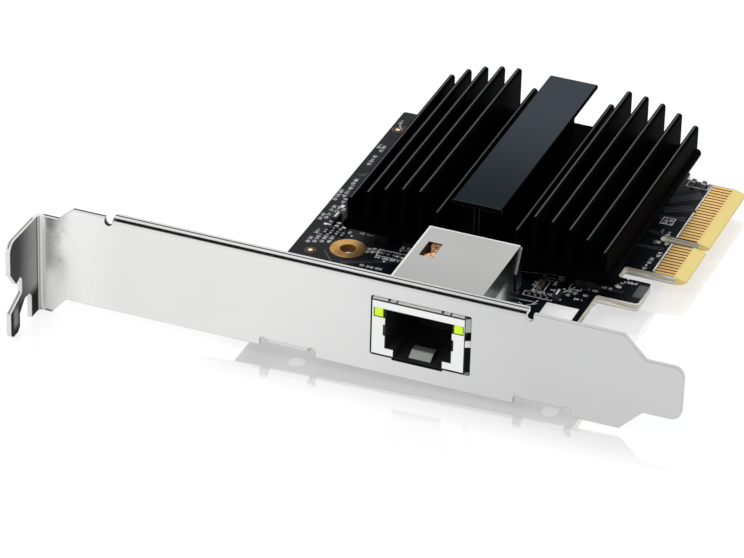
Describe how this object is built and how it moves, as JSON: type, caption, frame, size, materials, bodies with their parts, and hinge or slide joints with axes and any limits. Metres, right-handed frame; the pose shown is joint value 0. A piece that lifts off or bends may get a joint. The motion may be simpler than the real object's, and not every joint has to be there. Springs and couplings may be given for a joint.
{
  "type": "network interface card",
  "caption": "Network interface card: black board with a finned black heat sink, a shielded network jack and a steel bracket.",
  "frame": {"origin": "centre of the bracket's outer face", "axes": "+X along the bracket from its folded tab to its tongue, +Y into the machine, +Z towards the board's component side"},
  "size_m": [0.12, 0.0953, 0.0216],
  "materials": {
    "plated_steel": "bright zinc plated sheet, softly reflecting",
    "board_mask": "black solder mask with white legend, cream cut edge",
    "gold_contacts": "hard gold plating, worn satin",
    "black_anodised": "black anodised extrusion, satin, paler on the crests",
    "jack_can": "nickel plated tin sheet, satin",
    "black_plastic": "moulded black plastic",
    "light_plastic": "translucent yellow green",
    "contact_wire": "gold plated spring wire",
    "copper_winding": "enamelled copper wire, glossy",
    "screw_steel": "zinc plated screws",
    "post_metal": "turned brass",
    "package_black": "black epoxy package",
    "lid_metal": "nickel plated lid, satin",
    "pad_soft": "soft grey thermal pad",
    "capacitor_body": "tan ceramic with tinned ends",
    "resistor_body": "black film with tinned ends",
    "choke_body": "moulded ferrite, dark grey",
    "crystal_can": "nickel can",
    "header_white": "white moulded plastic",
    "sticker_paper": "white paper label, left blank",
    "solder": "tin solder"
  },
  "bodies": {
    "root": {"mounting_bracket": "plated_steel", "circuit_board": "board_mask", "edge_contacts_top": "gold_contacts", "edge_contacts_bottom": "gold_contacts", "mounting_hole_ring": "gold_contacts", "alignment_marks": "gold_contacts", "bracket_screws": "screw_steel", "heat_sink": "black_anodised", "heat_sink_screws": "screw_steel", "heat_sink_posts": "post_metal", "controller_package": "package_black", "package_lid": "lid_metal", "thermal_pad": "pad_soft", "jack_shield": "jack_can", "jack_housing": "black_plastic", "jack_contacts": "contact_wire", "jack_latch_ramp": "jack_can", "jack_light_left": "light_plastic", "jack_light_right": "light_plastic", "jack_coils": "copper_winding", "jack_pins": "solder", "memory_chip": "package_black", "memory_pins": "solder", "crystal": "crystal_can", "voltage_regulators": "package_black", "power_inductors": "choke_body", "pin_headers": "header_white", "capacitors": "capacitor_body", "resistors": "resistor_body", "board_sticker": "sticker_paper"}
  },
  "joints": []
}
